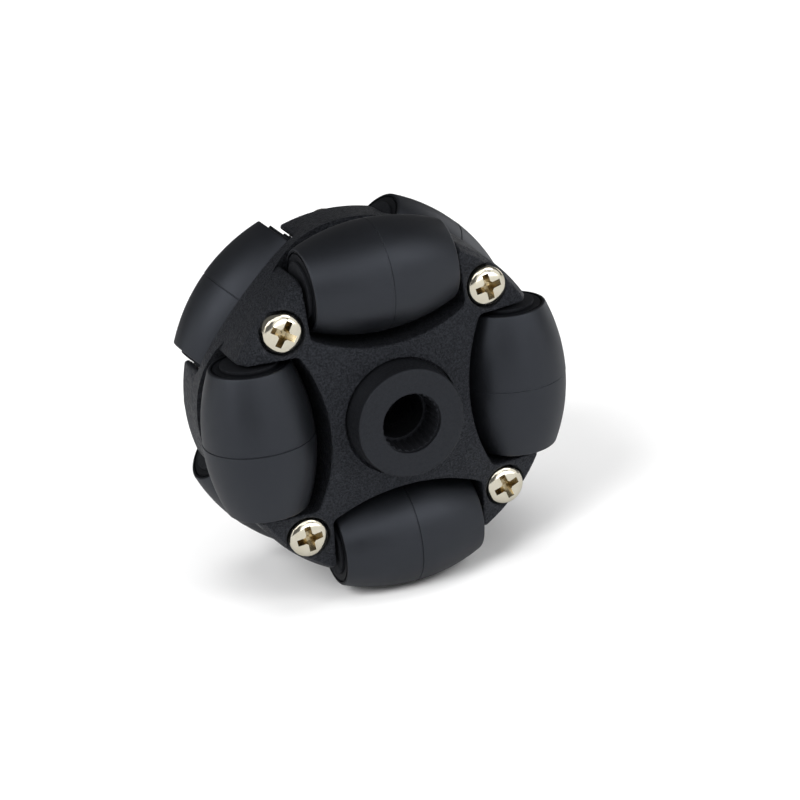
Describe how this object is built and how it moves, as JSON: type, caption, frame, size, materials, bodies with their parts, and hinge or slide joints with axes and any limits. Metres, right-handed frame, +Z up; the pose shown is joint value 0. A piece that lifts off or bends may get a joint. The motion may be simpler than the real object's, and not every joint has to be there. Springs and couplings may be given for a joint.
{
  "type": "omni wheel",
  "caption": "Small double-row omni wheel with barrel rollers on steel pins between star-shaped covers, and a splined boss for a servo shaft.",
  "frame": {"origin": "middle of the wheel, on its axis, halfway between the two rows of rollers", "axes": "+Y along the wheel's axis, away from the front boss; +Z up through the middle of the front row's first roller; +X to the right seen from the front"},
  "size_m": [0.04, 0.0244, 0.04],
  "materials": {
    "plastic": "fine-textured moulded black",
    "treads": "smooth matt black",
    "hubs": "smooth moulded black",
    "screws": "bright nickel plate",
    "pins": "drawn steel"
  },
  "bodies": {
    "wheel": {"core_body": "plastic", "front_cover": "plastic", "front_screw_1": "screws", "front_pin_1": "pins", "front_screw_2": "screws", "front_pin_2": "pins", "front_screw_3": "screws", "front_pin_3": "pins", "front_screw_4": "screws", "front_pin_4": "pins", "rear_cover": "plastic", "rear_screw_1": "screws", "rear_pin_1": "pins", "rear_screw_2": "screws", "rear_pin_2": "pins", "rear_screw_3": "screws", "rear_pin_3": "pins", "rear_screw_4": "screws", "rear_pin_4": "pins"},
    "front_roller_1": {"front_hub_1": "hubs", "front_tread_1": "treads"},
    "front_roller_2": {"front_hub_2": "hubs", "front_tread_2": "treads"},
    "front_roller_3": {"front_hub_3": "hubs", "front_tread_3": "treads"},
    "front_roller_4": {"front_hub_4": "hubs", "front_tread_4": "treads"},
    "rear_roller_1": {"rear_hub_1": "hubs", "rear_tread_1": "treads"},
    "rear_roller_2": {"rear_hub_2": "hubs", "rear_tread_2": "treads"},
    "rear_roller_3": {"rear_hub_3": "hubs", "rear_tread_3": "treads"},
    "rear_roller_4": {"rear_hub_4": "hubs", "rear_tread_4": "treads"}
  },
  "joints": [
    {"name": "front_roller_1_spin", "type": "hinge", "parent": "wheel", "child": "front_roller_1", "pos_m": [0, -0.0056, 0.0142], "axis": [1, 0, 0], "continuous": true},
    {"name": "front_roller_2_spin", "type": "hinge", "parent": "wheel", "child": "front_roller_2", "pos_m": [0.0142, -0.0056, 0], "axis": [0, 0, -1], "continuous": true},
    {"name": "front_roller_3_spin", "type": "hinge", "parent": "wheel", "child": "front_roller_3", "pos_m": [0, -0.0056, -0.0142], "axis": [-1, 0, 0], "continuous": true},
    {"name": "front_roller_4_spin", "type": "hinge", "parent": "wheel", "child": "front_roller_4", "pos_m": [-0.0142, -0.0056, 0], "axis": [0, 0, 1], "continuous": true},
    {"name": "rear_roller_1_spin", "type": "hinge", "parent": "wheel", "child": "rear_roller_1", "pos_m": [0.01004, 0.0056, 0.01004], "axis": [-0.7071, 0, 0.7071], "continuous": true},
    {"name": "rear_roller_2_spin", "type": "hinge", "parent": "wheel", "child": "rear_roller_2", "pos_m": [-0.01004, 0.0056, 0.01004], "axis": [-0.7071, 0, -0.7071], "continuous": true},
    {"name": "rear_roller_3_spin", "type": "hinge", "parent": "wheel", "child": "rear_roller_3", "pos_m": [-0.01004, 0.0056, -0.01004], "axis": [0.7071, 0, -0.7071], "continuous": true},
    {"name": "rear_roller_4_spin", "type": "hinge", "parent": "wheel", "child": "rear_roller_4", "pos_m": [0.01004, 0.0056, -0.01004], "axis": [0.7071, 0, 0.7071], "continuous": true}
  ]
}
